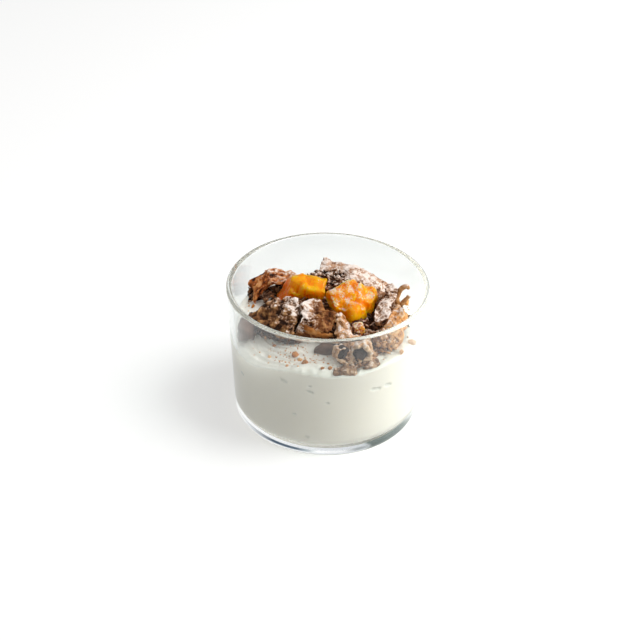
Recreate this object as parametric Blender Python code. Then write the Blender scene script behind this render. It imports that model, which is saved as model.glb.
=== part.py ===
"""Yogurt parfait in its low clear glass: chocolate shavings, a biscuit chunk and diced fruit on yogurt.

The glass stands on z = 0 with its axis through the origin, and its front faces -Y.
Sizes are in millimetres and degrees, and each mesh is made in metres.
"""

import math

import bmesh
import bpy
from mathutils import Matrix, Vector, noise
from mathutils.bvhtree import BVHTree

MM = 0.001

# The glass: a low pressed tumbler with a slight flare and a thick base.
GLASS_HEIGHT = 63.0
RIM_RADIUS = 43.0
BASE_RADIUS = 40.0
WALL = 2.3
FLOOR = 6.0
OUTER_HEEL = 5.0
INNER_HEEL = 4.0
PUNT_RADIUS = 25.0
PUNT_DEPTH = 0.5
PUNT_SLOPE = 1.5
SIDES = 64
LIP_STEPS = 6
HEEL_STEPS = 4
WELD = 0.01

# The yogurt: spooned in, so its top is folded, it mounds up in the middle and it sags at the front left.
# It dips under each topping, as far down as the topping hangs within reach.
GAP = 0.3
YOGURT_LEVEL = 45.3
YOGURT_RINGS = 15
FOLD_HEIGHT = 0.8
FOLD_PITCH = 15.0
FOLD_CENTRE = (-14.0, -4.0)
FOLD_WANDER = 3.0
FOLD_PATCH = 14.0
MOUND_AT = (-1.0, 0.0)
MOUND_HEIGHT = 5.0
MOUND_SPREAD = 14.0
SAG_AT = (-31.0, -20.0)
SAG_DEPTH = 5.0
SAG_SPREAD = 12.0
DENT_REACH = 3.4
DENT_RINGS = 3
DENT_SPOTS = 12
DENT_GAP = 0.6

# The shavings: thin leaves with ragged edges, crumpled and uneven in thickness.
SHEET_STEP = 2.3
BEND_STEPS = 16
RAGGED = 0.16
RAGGED_TEETH = 5.0
CRUMPLE_SIZE = 6.0
LUMP_SIZE = 2.6
STRIP_SIDES = 1
STRIP_STEPS = 4

# The biscuit: rounded blocks with knobs. The fruit: cut dice with softened edges.
BISCUIT_CUTS = 6
CRUMB_CUTS = 3
BLOCKINESS = 5
KNOB_SIZE = 3.2
UNEVEN_CUT = 0.9
CUT_SEED = 1
SOFT_EDGE = 1.0

# The plain finishes: linear colours, then roughness.
CLEAR = (0.9, 0.94, 0.92)
YOGURT = (0.84, 0.8, 0.7)
CHOCOLATE = (0.19, 0.075, 0.032)
PALE_CHOCOLATE = (0.42, 0.2, 0.1)
BISCUIT = (0.16, 0.07, 0.028)
FRUIT = (0.85, 0.33, 0.015)
POLISHED = 0.02
WET = 0.25
MOIST = 0.4
WAXY = 0.6
CRUMBLY = 0.85
SHARP_ANGLE = 40.0


def clear_scene():
    for old in list(bpy.data.objects):
        bpy.data.objects.remove(old, do_unlink=True)


def finish(name, colour, roughness):
    material = bpy.data.materials.new(name)
    material.use_nodes = True
    shader = material.node_tree.nodes["Principled BSDF"]
    shader.inputs["Base Color"].default_value = (*colour, 1.0)
    shader.inputs["Roughness"].default_value = roughness
    shader.inputs["Metallic"].default_value = 0.0
    material.diffuse_color = (*colour, 1.0)
    return material


def add_piece(name, bm, colour, roughness):
    """Makes an object of this mesh, with a material of its own."""
    bmesh.ops.recalc_face_normals(bm, faces=bm.faces)
    mesh = bpy.data.meshes.new(name)
    bm.to_mesh(mesh)
    bm.free()
    mesh.materials.append(finish(name, colour, roughness))
    mesh.shade_smooth()
    mesh.set_sharp_from_angle(angle=math.radians(SHARP_ANGLE))
    piece = bpy.data.objects.new(name, mesh)
    bpy.context.scene.collection.objects.link(piece)
    return piece


def place(piece, at, turn):
    """Sets a piece at a point, headed by yaw, raised by pitch and rolled about its own length."""
    yaw, pitch, roll = (math.radians(angle) for angle in turn)
    heading = Matrix.Rotation(yaw, 3, "Z") @ Matrix.Rotation(-pitch, 3, "Y")
    piece.rotation_euler = (heading @ Matrix.Rotation(roll, 3, "X")).to_euler()
    piece.location = Vector(at) * MM


# ---------------------------------------------------------------- glass


def outer_radius(z):
    return BASE_RADIUS + (RIM_RADIUS - BASE_RADIUS) * z / GLASS_HEIGHT


def inner_radius(z):
    return outer_radius(z) - WALL


def arc(centre, radius, start, end, steps):
    """Points (r, z) on an arc, from one angle to the other."""
    points = []
    for i in range(steps + 1):
        angle = math.radians(start + (end - start) * i / steps)
        points.append((centre[0] + radius * math.cos(angle), centre[1] + radius * math.sin(angle)))
    return points


def glass_profile():
    """From the middle of the underside, up the outside, over the lip and down to the middle of the floor."""
    lip = WALL / 2
    lip_height = GLASS_HEIGHT - lip
    lip_centre = (outer_radius(lip_height) - lip, lip_height)
    heel_centre = (outer_radius(OUTER_HEEL) - OUTER_HEEL, OUTER_HEEL)
    corner_height = FLOOR + INNER_HEEL
    corner_centre = (inner_radius(corner_height) - INNER_HEEL, corner_height)
    profile = [(0.0, PUNT_DEPTH), (PUNT_RADIUS - PUNT_SLOPE, PUNT_DEPTH), (PUNT_RADIUS, 0.0)]
    profile += arc(heel_centre, OUTER_HEEL, -90, 0, HEEL_STEPS)
    profile += arc(lip_centre, lip, 0, 180, LIP_STEPS)
    profile += arc(corner_centre, INNER_HEEL, 0, -90, HEEL_STEPS)
    profile.append((0.0, FLOOR))
    return profile


def make_glass():
    """Turns the profile round the Z axis into one closed skin."""
    bm = bmesh.new()
    points = [bm.verts.new((r * MM, 0.0, z * MM)) for r, z in glass_profile()]
    edges = [bm.edges.new(pair) for pair in zip(points, points[1:])]
    bmesh.ops.spin(
        bm, geom=points + edges, cent=(0, 0, 0), axis=(0, 0, 1), angle=math.tau, steps=SIDES, use_merge=True
    )
    bmesh.ops.remove_doubles(bm, verts=bm.verts, dist=WELD * MM)
    return add_piece("glass", bm, CLEAR, POLISHED)


# ---------------------------------------------------------------- shavings


def spread(cells):
    """Fractions from -0.5 to 0.5, one for each line of points."""
    return [i / cells - 0.5 for i in range(cells + 1)]


def bend(share, extent, angle, tighten, lift):
    """A point at this share of a strip that bends down by angle in all, and where its height is lift.

    Tighten moves the bend towards one edge, so that 1 leaves the other edge flat.
    """
    forward = rise = 0.0
    for step in range(BEND_STEPS):
        part = share * (step + 0.5) / BEND_STEPS
        heading = -math.radians(angle) * (part + tighten * part * part)
        forward += math.cos(heading) * extent * share / BEND_STEPS
        rise += math.sin(heading) * extent * share / BEND_STEPS
    heading = -math.radians(angle) * (share + tighten * share * share)
    return forward - lift * math.sin(heading), rise + lift * math.cos(heading)


def bent_point(along, across, size, curl, tighten, bow, twist, lift):
    """A point of a sheet that curls across its width and bows along its length."""
    side, rise = bend(across, size[1], curl, tighten, lift)
    lean = math.radians(twist) * along
    side, rise = side * math.cos(lean) - rise * math.sin(lean), side * math.sin(lean) + rise * math.cos(lean)
    forward, rise = bend(along, size[0], bow, 0.0, rise)
    return Vector((forward, side, rise))


def sheet_grid(size, curl, tighten, bow, twist, taper, pleat, rough, seed):
    """Lines of points on the middle of a sheet with ragged edges, pleats and crumples."""
    length, width = size[:2]
    columns = max(4, round(length / SHEET_STEP))
    rows = max(3, round(width / SHEET_STEP))
    pleat_height, pleat_count = pleat
    grid = []
    for along in spread(columns):
        narrow = taper[0] + (taper[1] - taper[0]) * (along + 0.5)
        line = []
        for across in spread(rows):
            tooth = Vector((along * RAGGED_TEETH, across * RAGGED_TEETH, seed * 3.7))
            ragged = 1 + RAGGED * rough * noise.noise(tooth)
            here = Vector((along * length, across * width, seed * 9.1))
            wave = pleat_height * math.sin(math.tau * pleat_count * across + seed)
            lift = wave + rough * noise.noise(here / CRUMPLE_SIZE)
            line.append(
                bent_point(along * ragged, across * narrow * ragged, size, curl, tighten, bow, twist, lift)
            )
        grid.append(line)
    return grid


def sheet_normal(grid, i, j):
    last_i = len(grid) - 1
    last_j = len(grid[0]) - 1
    along = grid[min(i + 1, last_i)][j] - grid[max(i - 1, 0)][j]
    across = grid[i][min(j + 1, last_j)] - grid[i][max(j - 1, 0)]
    return along.cross(across).normalized()


def offset_layer(bm, grid, offset, lumps, seed):
    """One face of the sheet: the middle's points moved along their normals, unevenly."""
    layer = []
    for i, line in enumerate(grid):
        row = []
        for j, point in enumerate(line):
            swell = 1 + lumps * noise.noise(point / LUMP_SIZE + Vector((seed, offset, seed)))
            row.append(bm.verts.new((point + sheet_normal(grid, i, j) * offset * swell) * MM))
        layer.append(row)
    for first, second in zip(layer, layer[1:]):
        for j in range(len(first) - 1):
            bm.faces.new((first[j], first[j + 1], second[j + 1], second[j]))
    return layer


def rim_of(layer):
    """The points round the layer's edge, in order."""
    right = [row[-1] for row in layer[1:-1]]
    left = [row[0] for row in layer[1:-1]]
    return layer[0] + right + layer[-1][::-1] + left[::-1]


def shaving(
    name, at, turn, size, curl=0.0, tighten=0.0, bow=0.0, twist=0.0, taper=(1.0, 1.0), pleat=(0.0, 0.0),
    rough=0.8, lumps=0.5, seed=1, colour=CHOCOLATE
):
    """A leaf shaved off a block: length, width and thickness, then how it bends."""
    grid = sheet_grid(size, curl, tighten, bow, twist, taper, pleat, rough, seed)
    bm = bmesh.new()
    top = rim_of(offset_layer(bm, grid, size[2] / 2, lumps, seed))
    under = rim_of(offset_layer(bm, grid, -size[2] / 2, lumps, seed))
    for k in range(len(top)):
        bm.faces.new((top[k - 1], top[k], under[k], under[k - 1]))
    piece = add_piece(name, bm, colour, WAXY)
    place(piece, at, turn)
    return piece


def strip(name, path, width, colour=CHOCOLATE):
    """A narrow folded strip that runs smoothly through its few path points."""
    curve = bpy.data.curves.new(name, "CURVE")
    curve.dimensions = "3D"
    curve.bevel_depth = width / 2 * MM
    curve.bevel_resolution = STRIP_SIDES
    curve.use_fill_caps = True
    curve.resolution_u = STRIP_STEPS
    spline = curve.splines.new("BEZIER")
    spline.bezier_points.add(len(path) - 1)
    for point, spot in zip(spline.bezier_points, path):
        point.co = Vector(spot) * MM
        point.handle_left_type = "AUTO"
        point.handle_right_type = "AUTO"
    curve.materials.append(finish(name, colour, WAXY))
    piece = bpy.data.objects.new(name, curve)
    bpy.context.scene.collection.objects.link(piece)
    return piece


# ---------------------------------------------------------------- biscuit and fruit


def lump(name, at, turn, size, narrow, knobs, seed, colour=BISCUIT, cuts=CRUMB_CUTS):
    """A rough lump: a rounded block that narrows towards its start and has knobs on its faces."""
    bm = bmesh.new()
    bmesh.ops.create_cube(bm, size=2.0)
    bmesh.ops.subdivide_edges(bm, edges=bm.edges, cuts=cuts, use_grid_fill=True)
    half = Vector(size) / 2
    for vert in bm.verts:
        block = vert.co
        rounded = block / sum(abs(part) ** BLOCKINESS for part in block) ** (1 / BLOCKINESS)
        width = narrow + (1 - narrow) * (rounded.x + 1) / 2
        height = (1 + width) / 2
        spot = Vector((rounded.x * half.x, rounded.y * half.y * width, rounded.z * half.z * height))
        bump = 1 + knobs / half.z * noise.noise(spot / KNOB_SIZE + Vector((seed, 0, seed)))
        vert.co = Vector((spot.x * (bump + 1) / 2, spot.y * (bump + 1) / 2, spot.z * bump)) * MM
    piece = add_piece(name, bm, colour, CRUMBLY)
    place(piece, at, turn)
    return piece


def die(name, at, turn, size, top, seed, lean=(0.0, 0.0)):
    """One cut cube of fruit, whose top is scaled along x and y, and shifted by lean."""
    bm = bmesh.new()
    bmesh.ops.create_cube(bm, size=1.0)
    for vert in bm.verts:
        corner = Vector([part * side for part, side in zip(vert.co, size)])
        if corner.z > 0:
            corner.x = corner.x * top[0] + lean[0]
            corner.y = corner.y * top[1] + lean[1]
        corner += noise.noise_vector(corner + Vector((seed, seed, 0))) * UNEVEN_CUT
        vert.co = corner * MM
    bmesh.ops.bevel(
        bm, geom=bm.edges, offset=SOFT_EDGE * MM, segments=2, profile=0.5, affect="EDGES", clamp_overlap=True
    )
    piece = add_piece(name, bm, FRUIT, WET)
    place(piece, at, turn)
    return piece


def fruit(name, dice, seed):
    """A piece of fruit with several cut lobes: the first die, joined to hidden others."""
    piece = die(name, **dice[0], seed=seed)
    for k, shape in enumerate(dice[1:], start=1):
        lobe = die(f"{name}_lobe_{k}", **shape, seed=seed + k)
        lobe.hide_render = True
        lobe.display_type = "WIRE"
        join = piece.modifiers.new("join_lobe", "BOOLEAN")
        join.operation = "UNION"
        join.object = lobe
    return piece


# ---------------------------------------------------------------- toppings


def make_back():
    """The long shard that leans at the back, and the leaf under its front edge."""
    return [
        shaving(
            "shard_back", at=(12.2, 17.4, 54.6), turn=(-22, -15, 16), size=(35, 14, 1.8), curl=30, bow=15,
            taper=(0.62, 0.8), rough=1.3, seed=3, colour=PALE_CHOCOLATE,
        ),
        shaving(
            "leaf_under_shard", at=(-1.2, 14.2, 50.6), turn=(-22, 0, 58), size=(12, 7.5, 1.2), curl=20,
            seed=5,
        ),
    ]


def make_left():
    """The arched leaf at the back left with thin ones inside it, the biscuit, and a leaf at the wall."""
    return [
        shaving(
            "leaf_back_left", at=(-25.9, 16.9, 54.0), turn=(-80, 4, 14), size=(10, 23, 1.6), curl=115,
            tighten=-0.7, rough=1.2, seed=8, colour=PALE_CHOCOLATE,
        ),
        shaving(
            "leaf_inside_left", at=(-26.8, 15.0, 48.0), turn=(5, 4, -12), size=(8, 6, 0.9), curl=30, seed=9,
        ),
        shaving(
            "loop_left", at=(-25.3, 8.9, 50.9), turn=(-75, 20, 0), size=(4, 11, 0.9), curl=300, tighten=0.4,
            seed=10,
        ),
        shaving(
            "leaf_left_wall", at=(-33.2, -13.8, 47.2), turn=(-72, 0, 30), size=(8, 5, 1.2), curl=15, seed=12,
        ),
        lump(
            "biscuit_front_left", at=(-22.4, -10.4, 52.9), turn=(-12, 0, 34), size=(20, 20, 6.5),
            narrow=0.35, knobs=1.6, seed=14, cuts=BISCUIT_CUTS,
        ),
    ]


def make_front():
    """The two leaves in front of the fruit, the pair of curls and the crumbs against the wall."""
    return [
        shaving(
            "leaf_front_middle", at=(-3.9, -15.6, 55.4), turn=(-20, -10, 26), size=(13.5, 24, 1.5), curl=150,
            tighten=-0.9, taper=(1.0, 0.6), rough=1.2, seed=16, colour=PALE_CHOCOLATE,
        ),
        shaving(
            "leaf_front_second", at=(6.7, -18.9, 54.0), turn=(-68, -24, 8), size=(13, 8, 1.2), curl=35,
            taper=(0.3, 1.0), seed=17, colour=PALE_CHOCOLATE,
        ),
        shaving(
            "curl_front_left", at=(4.3, -30.2, 51.2), turn=(-78, 24, 40), size=(8, 14, 1.0), curl=330,
            tighten=0.5, seed=19,
        ),
        shaving(
            "curl_front_right", at=(15.0, -28.6, 52.4), turn=(-98, 24, -10), size=(8, 21, 1.0), curl=350,
            tighten=0.5, seed=20,
        ),
        lump(
            "crumb_at_wall_left", at=(7.6, -36.2, 44.4), turn=(12, 0, 30), size=(10, 4.8, 4.4),
            narrow=0.7, knobs=0.8, seed=21,
        ),
        lump(
            "crumb_at_wall_right", at=(17.6, -32.8, 44.8), turn=(25, 0, 20), size=(7.5, 3.6, 3.2),
            narrow=0.6, knobs=0.8, seed=22,
        ),
    ]


def make_right():
    """The pleated half tube, the leaf over it, the folded strip and what lies between them and the fruit."""
    return [
        shaving(
            "tube_right", at=(26.9, -13.4, 53.4), turn=(-114, -17, 0), size=(15, 19, 1.2), curl=250,
            taper=(0.5, 1.0), pleat=(0.35, 5), seed=24, colour=PALE_CHOCOLATE,
        ),
        shaving(
            "leaf_right", at=(25.0, -5.0, 57.8), turn=(-108, -9, -10), size=(20, 4.8, 1.8), curl=30, bow=12,
            seed=26, colour=PALE_CHOCOLATE,
        ),
        strip(
            "strip_right", width=1.9,
            path=[
                (30.0, 4.6, 58.2), (31.2, 6.8, 58.4), (33.8, 7.8, 58.2),
                (32.0, 2.8, 57.8), (31.8, -1.2, 56.8), (35.2, 3.6, 56.4),
            ],
        ),
        shaving(
            "leaf_in_gap", at=(20.0, -8.2, 48.6), turn=(-104, -10, -10), size=(12, 4.8, 1.1), curl=30,
            seed=28,
        ),
        lump(
            "crumb_by_fruit", at=(17.4, -19.8, 49.2), turn=(40, 0, 20), size=(5.6, 5.4, 4.6),
            narrow=0.6, knobs=0.9, seed=29,
        ),
    ]


def make_fruit():
    """Two pieces of cut fruit side by side on top, and a small bit in front of them."""
    left_skin = dict(
        at=(-16.0, 7.2, 53.8), turn=(12, 0, 0), size=(13, 11, 12), top=(0.4, 0.85), lean=(3.8, 0.5)
    )
    left_flesh = dict(at=(-6.8, 6.4, 53.8), turn=(-9, -3, 4), size=(11.5, 10.5, 11), top=(0.95, 0.9))
    right_top = dict(at=(7.6, -1.6, 57.2), turn=(28, 12, 14), size=(15, 11, 7), top=(0.92, 0.9))
    right_low = dict(at=(10.8, -8.8, 54.0), turn=(35, 0, 4), size=(9, 9, 8), top=(0.85, 0.85))
    right_back = dict(at=(15.8, -0.8, 55.4), turn=(-20, 0, 0), size=(8.5, 11, 8.5), top=(0.85, 0.9))
    small = dict(at=(12.7, -17.6, 51.6), turn=(20, 10, 0), size=(5, 4.4, 4.4), top=(0.8, 0.8))
    return [
        fruit("fruit_left", [left_skin, left_flesh], seed=31),
        fruit("fruit_right", [right_top, right_low, right_back], seed=34),
        fruit("fruit_bit", [small], seed=38),
    ]


# ---------------------------------------------------------------- yogurt


def skin_of(pieces):
    """The faces of these pieces in the world, for measuring how low they hang."""
    graph = bpy.context.evaluated_depsgraph_get()
    points = []
    faces = []
    for piece in pieces:
        evaluated = piece.evaluated_get(graph)
        mesh = evaluated.to_mesh()
        faces += [[len(points) + corner for corner in face.vertices] for face in mesh.polygons]
        points += [evaluated.matrix_world @ vert.co for vert in mesh.vertices]
        evaluated.to_mesh_clear()
    return BVHTree.FromPolygons(points, faces)


def bell(x, y, centre, spread):
    return math.exp(-((x - centre[0]) ** 2 + (y - centre[1]) ** 2) / (2 * spread ** 2))


def folded_level(x, y):
    """The spooned top before anything lies on it: soft folds, a mound in the middle and a sag."""
    wander = FOLD_WANDER * noise.noise(Vector((x, y, 0)) / FOLD_PATCH)
    sweep = math.hypot(x - FOLD_CENTRE[0], y - FOLD_CENTRE[1]) + wander
    fold = FOLD_HEIGHT * math.sin(math.tau * sweep / FOLD_PITCH)
    mound = MOUND_HEIGHT * bell(x, y, MOUND_AT, MOUND_SPREAD)
    return YOGURT_LEVEL + fold + mound - SAG_DEPTH * bell(x, y, SAG_AT, SAG_SPREAD)


def hang_height(skin, x, y):
    """How low the toppings hang within reach of this spot."""
    lowest = GLASS_HEIGHT
    for ring in range(DENT_RINGS + 1):
        reach = DENT_REACH * ring / DENT_RINGS
        for k in range(DENT_SPOTS if ring else 1):
            angle = math.tau * k / DENT_SPOTS
            below = Vector((x + reach * math.cos(angle), y + reach * math.sin(angle), FLOOR)) * MM
            hit = skin.ray_cast(below, Vector((0, 0, 1)))[0]
            if hit:
                lowest = min(lowest, hit.z / MM)
    return lowest


def yogurt_top(skin, x, y):
    return min(folded_level(x, y), hang_height(skin, x, y) - DENT_GAP)


def turned(bm, r, z, k):
    """A new point on side k of the round glass, at this radius and height."""
    angle = math.tau * k / SIDES
    return bm.verts.new(Vector((r * math.cos(angle), r * math.sin(angle), z)) * MM)


def level_at(skin, r, k):
    angle = math.tau * k / SIDES
    return yogurt_top(skin, r * math.cos(angle), r * math.sin(angle))


def yogurt_rings(bm, skin):
    """Rings of points from the floor of the glass, up the wall and in over the top."""
    corner_height = FLOOR + INNER_HEEL
    corner_centre = (inner_radius(corner_height) - INNER_HEEL, corner_height)
    edge = inner_radius(YOGURT_LEVEL) - GAP
    rings = []
    for r, z in arc(corner_centre, INNER_HEEL - GAP, -90, 0, HEEL_STEPS):
        rings.append([turned(bm, r, z, k) for k in range(SIDES)])
    for share in (0.5, 1.0):
        heights = [corner_height + share * (level_at(skin, edge, k) - corner_height) for k in range(SIDES)]
        rings.append([turned(bm, inner_radius(z) - GAP, z, k) for k, z in enumerate(heights)])
    for step in range(YOGURT_RINGS - 1, 0, -1):
        r = edge * step / YOGURT_RINGS
        rings.append([turned(bm, r, level_at(skin, r, k), k) for k in range(SIDES)])
    return rings


def make_yogurt(toppings):
    """Fills the glass up to its folded top, a small gap inside the wall and under each topping."""
    skin = skin_of(toppings)
    bm = bmesh.new()
    rings = yogurt_rings(bm, skin)
    for below, above in zip(rings, rings[1:]):
        for k in range(SIDES):
            bm.faces.new((below[k - 1], below[k], above[k], above[k - 1]))
    bm.faces.new(rings[0])
    middle = turned(bm, 0, yogurt_top(skin, 0, 0), 0)
    for k in range(SIDES):
        bm.faces.new((rings[-1][k - 1], rings[-1][k], middle))
    return add_piece("yogurt", bm, YOGURT, MOIST)


noise.seed_set(CUT_SEED)
clear_scene()
make_glass()
make_yogurt(make_back() + make_left() + make_front() + make_right() + make_fruit())
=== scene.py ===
"""A yogurt parfait in its low clear glass, topped with sugared chocolate shavings, biscuit and fruit.

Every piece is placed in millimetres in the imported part's own frame: the glass stands on z = 0, round the
Z axis.
"""

import math
import random

import bmesh
import bpy
import numpy as np
from mathutils import Matrix, Vector, noise
from mathutils.bvhtree import BVHTree


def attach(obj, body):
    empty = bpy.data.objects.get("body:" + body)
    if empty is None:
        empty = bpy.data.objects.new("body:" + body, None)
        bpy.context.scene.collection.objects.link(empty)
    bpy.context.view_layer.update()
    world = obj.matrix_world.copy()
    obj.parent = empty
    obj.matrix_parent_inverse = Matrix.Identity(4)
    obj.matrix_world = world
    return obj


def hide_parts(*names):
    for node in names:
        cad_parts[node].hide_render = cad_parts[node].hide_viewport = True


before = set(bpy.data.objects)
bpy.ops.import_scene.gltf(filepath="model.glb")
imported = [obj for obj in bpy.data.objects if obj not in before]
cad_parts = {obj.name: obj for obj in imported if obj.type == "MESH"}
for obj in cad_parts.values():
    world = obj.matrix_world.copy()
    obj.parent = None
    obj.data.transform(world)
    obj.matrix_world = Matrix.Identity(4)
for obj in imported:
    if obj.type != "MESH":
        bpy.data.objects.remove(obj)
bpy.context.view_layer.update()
noise.seed_set(1)
MM = 0.001

# ---------------------------------------------------------------- the tumbler
# A pressed soda-lime tumbler: straight walls that flare a little, a fire-polished round lip and a thick
# floor with a rounded heel. It is one piece, turned here about its axis as the mould makes it.

GLASS_HEIGHT = 63.0
RIM_RADIUS = 43.0
BASE_RADIUS = 40.0
WALL = 2.3
FLOOR = 6.0
OUTER_HEEL = 5.0
INNER_HEEL = 4.0
PUNT_RADIUS = 25.0
PUNT_DEPTH = 0.5
PUNT_SLOPE = 1.5
GLASS_SIDES = 288


def outer_radius(z):
    return BASE_RADIUS + (RIM_RADIUS - BASE_RADIUS) * z / GLASS_HEIGHT


def inner_radius(z):
    return outer_radius(z) - WALL


def arc(centre, radius, start, end, steps):
    """Points (r, z) on an arc, from one angle to the other."""
    angles = np.radians(np.linspace(start, end, steps + 1))
    return [(centre[0] + radius * math.cos(a), centre[1] + radius * math.sin(a)) for a in angles]


def run(start, end, steps):
    """Points between two ends, crowded towards both, so that the flat of a wall shades flat."""
    shares = [(1 - math.cos(math.pi * k / steps)) / 2 for k in range(1, steps)]
    (r, z), (last_r, last_z) = start, end
    return [(r + (last_r - r) * t, z + (last_z - z) * t) for t in shares]


def glass_profile():
    """From the middle of the underside, up the outside, over the lip and down to the floor's middle.

    The last number of each run and arc is its count of steps.
    """
    lip = WALL / 2
    lip_height = GLASS_HEIGHT - lip
    corner_height = FLOOR + INNER_HEEL
    punt = [(PUNT_RADIUS - PUNT_SLOPE, PUNT_DEPTH), (PUNT_RADIUS, 0.0)]
    heel = arc((outer_radius(OUTER_HEEL) - OUTER_HEEL, OUTER_HEEL), OUTER_HEEL, -90, 0, 20)
    rim = arc((outer_radius(lip_height) - lip, lip_height), lip, 0, 180, 24)
    corner = arc((inner_radius(corner_height) - INNER_HEEL, corner_height), INNER_HEEL, 0, -90, 16)
    middle = [(0.0, PUNT_DEPTH), (0.0, FLOOR)]
    return (
        middle[:1] + run(middle[0], punt[0], 8) + punt[:1] + run(*punt, 4) + punt[1:]
        + run(punt[1], heel[0], 8) + heel + run(heel[-1], rim[0], 32) + rim
        + run(rim[-1], corner[0], 32) + corner + run(corner[-1], middle[1], 12) + middle[1:]
    )


def make_object(name, points, faces):
    """A smooth object of these points in millimetres."""
    mesh = bpy.data.meshes.new(name)
    mesh.from_pydata((np.asarray(points, float) * MM).tolist(), [], faces)
    mesh.validate()
    mesh.shade_smooth()
    piece = bpy.data.objects.new(name, mesh)
    bpy.context.scene.collection.objects.link(piece)
    return piece


def turn_profile(name, profile, sides):
    """One closed skin from a profile whose first and last points are on the axis."""
    angles = np.arange(sides) * math.tau / sides
    rings = [[(r * math.cos(a), r * math.sin(a), z) for a in angles] for r, z in profile[1:-1]]
    points = [point for ring in rings for point in ring]
    points += [(0, 0, profile[0][1]), (0, 0, profile[-1][1])]
    first, last, top = len(points) - 2, len(points) - 1, (len(rings) - 1) * sides
    faces = []
    for k in range(sides):
        following = (k + 1) % sides
        faces.append((first, following, k))
        faces.append((last, top + k, top + following))
        for i in range(len(rings) - 1):
            low, high = i * sides, (i + 1) * sides
            faces.append((low + k, low + following, high + following, high + k))
    return make_object(name, points, faces)


def add_node(tree, kind, settings, inputs):
    """A node with these settings, whose sockets hold the values given or are fed by other nodes."""
    node = tree.nodes.new("ShaderNode" + kind)
    for name, value in settings.items():
        setattr(node, name, value)
    for name, value in inputs.items():
        if isinstance(value, bpy.types.NodeSocket):
            tree.links.new(value, node.inputs[name])
        else:
            node.inputs[name].default_value = value
    return node


def linear(hex_colour):
    """The linear colour of an sRGB hex value."""
    parts = [int(hex_colour[i:i + 2], 16) / 255 for i in (1, 3, 5)]
    return [p / 12.92 if p <= 0.04045 else ((p + 0.055) / 1.055) ** 2.4 for p in parts] + [1.0]


def start_material(name, sockets):
    """A material whose one shader has these plain values."""
    material = bpy.data.materials.new(name)
    material.use_nodes = True
    shader = material.node_tree.nodes["Principled BSDF"]
    for socket, value in sockets.items():
        shader.inputs[socket].default_value = value
    return material, material.node_tree, shader


def settle(piece, material, slot, *nodes):
    """Puts the finish on a piece, which then stands for these solids of the part."""
    piece.data.materials.clear()
    piece.data.materials.append(material)
    if nodes:
        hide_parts(*nodes)
    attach(piece, "root")


# Soda-lime glass, fire-polished: clear, a trace of green along thick edges, mirror-smooth. Light that
# casts shadows goes straight through it, so that the food inside is lit as it is behind thin clear glass.
glass_finish, tree, shader = start_material("soda_lime_glass", {
    "Base Color": linear("#EEF1F0"), "Roughness": 0.0, "IOR": 1.52, "Transmission Weight": 1.0,
})
output = tree.nodes["Material Output"]
path = add_node(tree, "LightPath", {}, {})
through = add_node(tree, "BsdfTransparent", {}, {"Color": linear("#F6FBF9")})
lets_light = add_node(tree, "MixShader", {}, {
    0: path.outputs["Is Shadow Ray"], 1: shader.outputs[0], 2: through.outputs[0],
})
tree.links.new(lets_light.outputs[0], output.inputs["Surface"])

glass = turn_profile("tumbler", glass_profile(), GLASS_SIDES)
settle(glass, glass_finish, "glass", "glass")

# ---------------------------------------------------------------- the yogurt
# Thick strained yogurt, spooned in and left as it fell: soft folds, a mound in the middle and a sag at
# the front left. It wets the glass, and the toppings have sunk a little way into it.

YOGURT_LEVEL = 45.3
FOLD_HEIGHT = 0.8
FOLD_PITCH = 15.0
FOLD_CENTRE = (-14.0, -4.0)
FOLD_WANDER = 3.0
FOLD_PATCH = 14.0
MOUND_AT = (-1.0, 0.0)
MOUND_HEIGHT = 5.0
MOUND_SPREAD = 14.0
SAG_AT = (-31.0, -20.0)
SAG_DEPTH = 5.0
SAG_SPREAD = 12.0
# The ridges that the spoon left at the front: how far out, width and height of each.
SPOON_RIDGES = (
    (26.5, 0.8, 0.7), (29.5, 0.7, 0.9), (32.0, 0.6, 0.6), (35.0, 0.7, 0.9), (37.5, 0.5, 0.4),
)
RIDGES_AT = (-20.0, -24.0)
RIDGES_SPREAD = 17.0
RIDGE_WANDER = 1.6
RIDGE_BENDS = 1.9
RIDGE_BREAKS = (3.1, 6.0)
RIDGE_UNEVEN = 1.5
DIMPLE_SIZE = 2.1
DIMPLE_DEPTH = 0.34
SHOULDER = 3.0
SHOULDER_DROP = 1.5
# The small bubbles left against the glass: degrees round the wall, height and size of each.
AIR_POCKETS = (
    (-115, 38.7, 1.1), (-99, 35.6, 1.0), (-89, 30.4, 0.7), (-61, 34.4, 1.2), (-58, 34.1, 1.0),
    (-51, 34.0, 1.3), (-109, 22.6, 0.7), (-99, 38.4, 0.5), (-101, 11.1, 0.6), (-150, 30.0, 0.9),
    (-20, 25.0, 0.8), (60, 33.0, 1.2), (95, 20.0, 0.7), (140, 36.0, 1.1), (170, 15.0, 0.6),
    (25, 38.0, 0.9),
)
POCKET_DEPTH = 0.9
POCKET_LONG = 1.6
POCKET_TALL = 0.6
POCKET_TILT = 0.3
WETTING = 0.1
YOGURT_SIDES = 480
TOP_RINGS = 96
SIDE_RINGS = 70
CORNER_RINGS = 8


def bell(x, y, centre, spread):
    return math.exp(-((x - centre[0]) ** 2 + (y - centre[1]) ** 2) / (2 * spread ** 2))


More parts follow.
